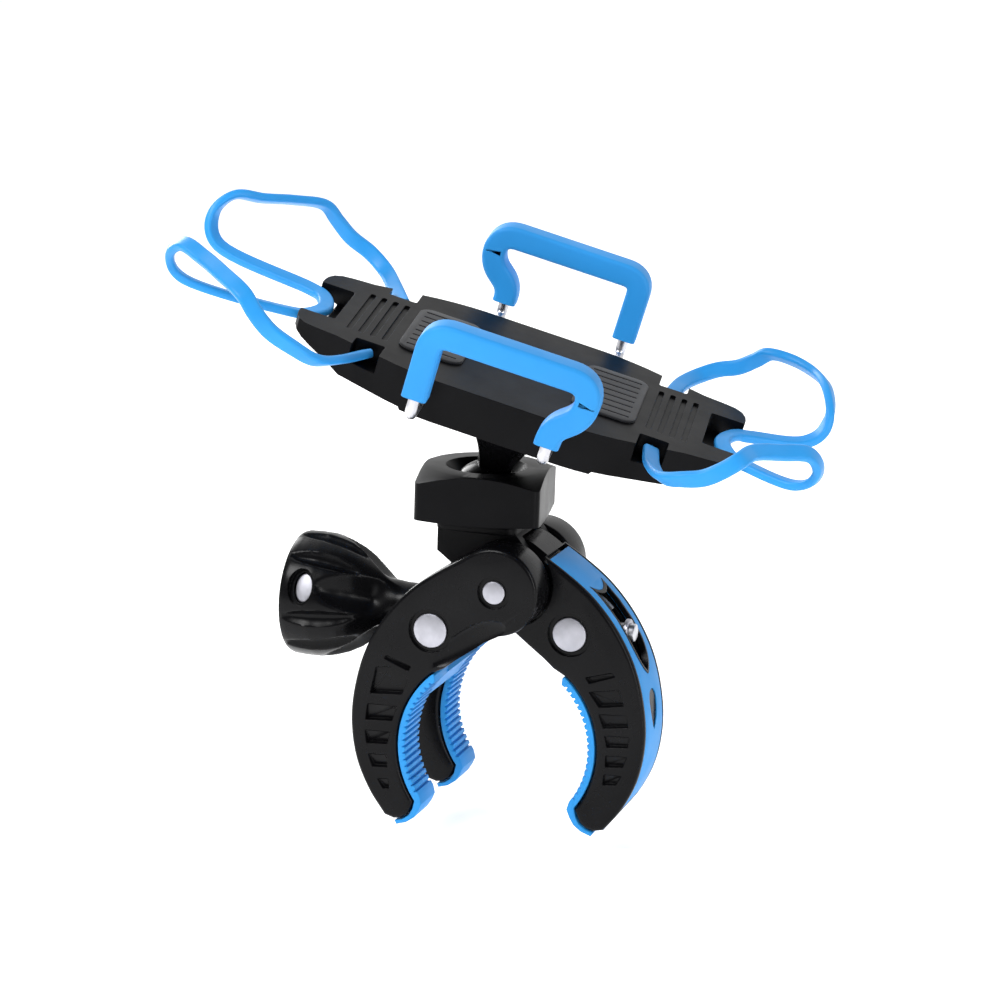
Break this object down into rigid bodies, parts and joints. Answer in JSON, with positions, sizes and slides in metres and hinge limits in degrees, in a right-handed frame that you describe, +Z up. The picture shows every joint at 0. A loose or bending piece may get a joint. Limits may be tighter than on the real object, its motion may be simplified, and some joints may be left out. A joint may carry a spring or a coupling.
{
  "type": "bicycle phone mount",
  "caption": "Phone mount with spring wire arms, elastic corner bands, a ball joint with lock nut and a screw-closed two-jaw handlebar clamp.",
  "frame": {"origin": "middle of the handlebar held by the clamp, half way across the jaws", "axes": "+Y along the handlebar, +Z up through the ball joint to the cradle, +X towards the single-claw jaw, the knob is on -X"},
  "size_m": [0.1415, 0.09, 0.1331],
  "materials": {
    "black_gloss": "moulded, lightly glossy",
    "black_satin": "moulded, satin",
    "blue_rubber": "matt blue elastomer",
    "blue_silicone": "soft matt silicone",
    "steel": "machined, bright",
    "spring_steel": "drawn wire",
    "dark_rubber": "matt"
  },
  "bodies": {
    "socket": {"socket_block": "black_satin", "hinge_pin": "steel", "torsion_spring": "spring_steel"},
    "left_jaw": {"jaw_left": "black_gloss", "pad_left": "blue_rubber", "spring_leg_left": "spring_steel"},
    "right_jaw": {"jaw_right": "black_gloss", "pad_right": "blue_rubber", "trim_strip": "blue_rubber", "spring_leg_right": "spring_steel"},
    "left_barrel": {"barrel_left": "steel"},
    "hand_screw": {"knob": "black_gloss", "clamp_screw": "steel", "knob_pin": "steel", "screw_end_ring": "steel", "thrust_washer": "steel"},
    "right_barrel": {"barrel_right": "steel"},
    "nut": {"lock_nut": "black_gloss"},
    "seat": {"ball_seat": "dark_rubber"},
    "stud": {"ball_stud": "black_gloss", "stud_washer": "steel", "stud_screw": "steel"},
    "cradle": {"cradle_base": "black_gloss", "cradle_bottom_plate": "black_satin", "base_screw_1": "steel", "base_screw_2": "steel", "base_screw_3": "steel", "base_screw_4": "steel", "face_pad_left": "dark_rubber", "face_pad_right": "dark_rubber", "band_left": "blue_silicone", "band_right": "blue_silicone", "arm_front_spring_outer": "spring_steel", "arm_front_spring_inner": "spring_steel", "arm_rear_spring_outer": "spring_steel", "arm_rear_spring_inner": "spring_steel"},
    "front_arm": {"arm_front_wire": "steel", "arm_front_coat": "blue_rubber", "arm_front_collar_outer": "steel", "arm_front_collar_inner": "steel"},
    "rear_arm": {"arm_rear_wire": "steel", "arm_rear_coat": "blue_rubber", "arm_rear_collar_outer": "steel", "arm_rear_collar_inner": "steel"}
  },
  "joints": [
    {"name": "jaw_left_hinge", "type": "hinge", "parent": "socket", "child": "left_jaw", "pos_m": [0, 0, 0.036], "axis": [0, -1, 0], "range_deg": [-6.5, 16.5]},
    {"name": "jaw_right_hinge", "type": "hinge", "parent": "socket", "child": "right_jaw", "pos_m": [0, 0, 0.036], "axis": [0, 1, 0], "range_deg": [-6.5, 16.5]},
    {"name": "barrel_left_turn", "type": "hinge", "parent": "left_jaw", "child": "left_barrel", "pos_m": [-0.014, 0, 0.026], "axis": [0, -1, 0], "range_deg": [-16.5, 6.5]},
    {"name": "barrel_right_turn", "type": "hinge", "parent": "right_jaw", "child": "right_barrel", "pos_m": [0.014, 0, 0.026], "axis": [0, 1, 0], "range_deg": [-16.5, 6.5]},
    {"name": "knob_turn", "type": "hinge", "parent": "left_barrel", "child": "hand_screw", "pos_m": [-0.014, 0, 0.026], "axis": [1, 0, 0], "range_deg": [-1050, 2800]},
    {"name": "lock_nut_turn", "type": "hinge", "parent": "socket", "child": "nut", "pos_m": [-0.0085, 0, 0.053], "axis": [0, 0, 1], "range_deg": [-30, 330]},
    {"name": "cradle_swivel", "type": "hinge", "parent": "socket", "child": "seat", "pos_m": [-0.0085, 0, 0.053], "axis": [0, 0, 1], "continuous": true},
    {"name": "cradle_tilt", "type": "hinge", "parent": "seat", "child": "stud", "pos_m": [-0.0085, 0, 0.053], "axis": [0.3239, 0.9461, 0], "range_deg": [-41.8, 6.2]},
    {"name": "cradle_spin", "type": "hinge", "parent": "stud", "child": "cradle", "pos_m": [-0.0085, 0, 0.053], "axis": [0.2892, -0.099, 0.9521], "continuous": true},
    {"name": "arm_front_slide", "type": "slide", "parent": "cradle", "child": "front_arm", "axis": [0.1518, -0.9773, -0.1477], "range_m": [-0.009, 0.014], "stiffness_N_per_m": 60, "springref_m": -0.02, "deforming": ["arm_front_spring_outer", "arm_front_spring_inner"]},
    {"name": "arm_rear_slide", "type": "slide", "parent": "cradle", "child": "rear_arm", "axis": [-0.1518, 0.9773, 0.1477], "range_m": [-0.009, 0.014], "stiffness_N_per_m": 60, "springref_m": -0.02, "deforming": ["arm_rear_spring_outer", "arm_rear_spring_inner"]}
  ],
  "couplings": [
    {"joint": "jaw_left_hinge", "follows": "knob_turn", "ratio": 0.0057143},
    {"joint": "jaw_right_hinge", "follows": "knob_turn", "ratio": 0.0057143},
    {"joint": "barrel_left_turn", "follows": "knob_turn", "ratio": -0.0057143},
    {"joint": "barrel_right_turn", "follows": "knob_turn", "ratio": -0.0057143}
  ]
}
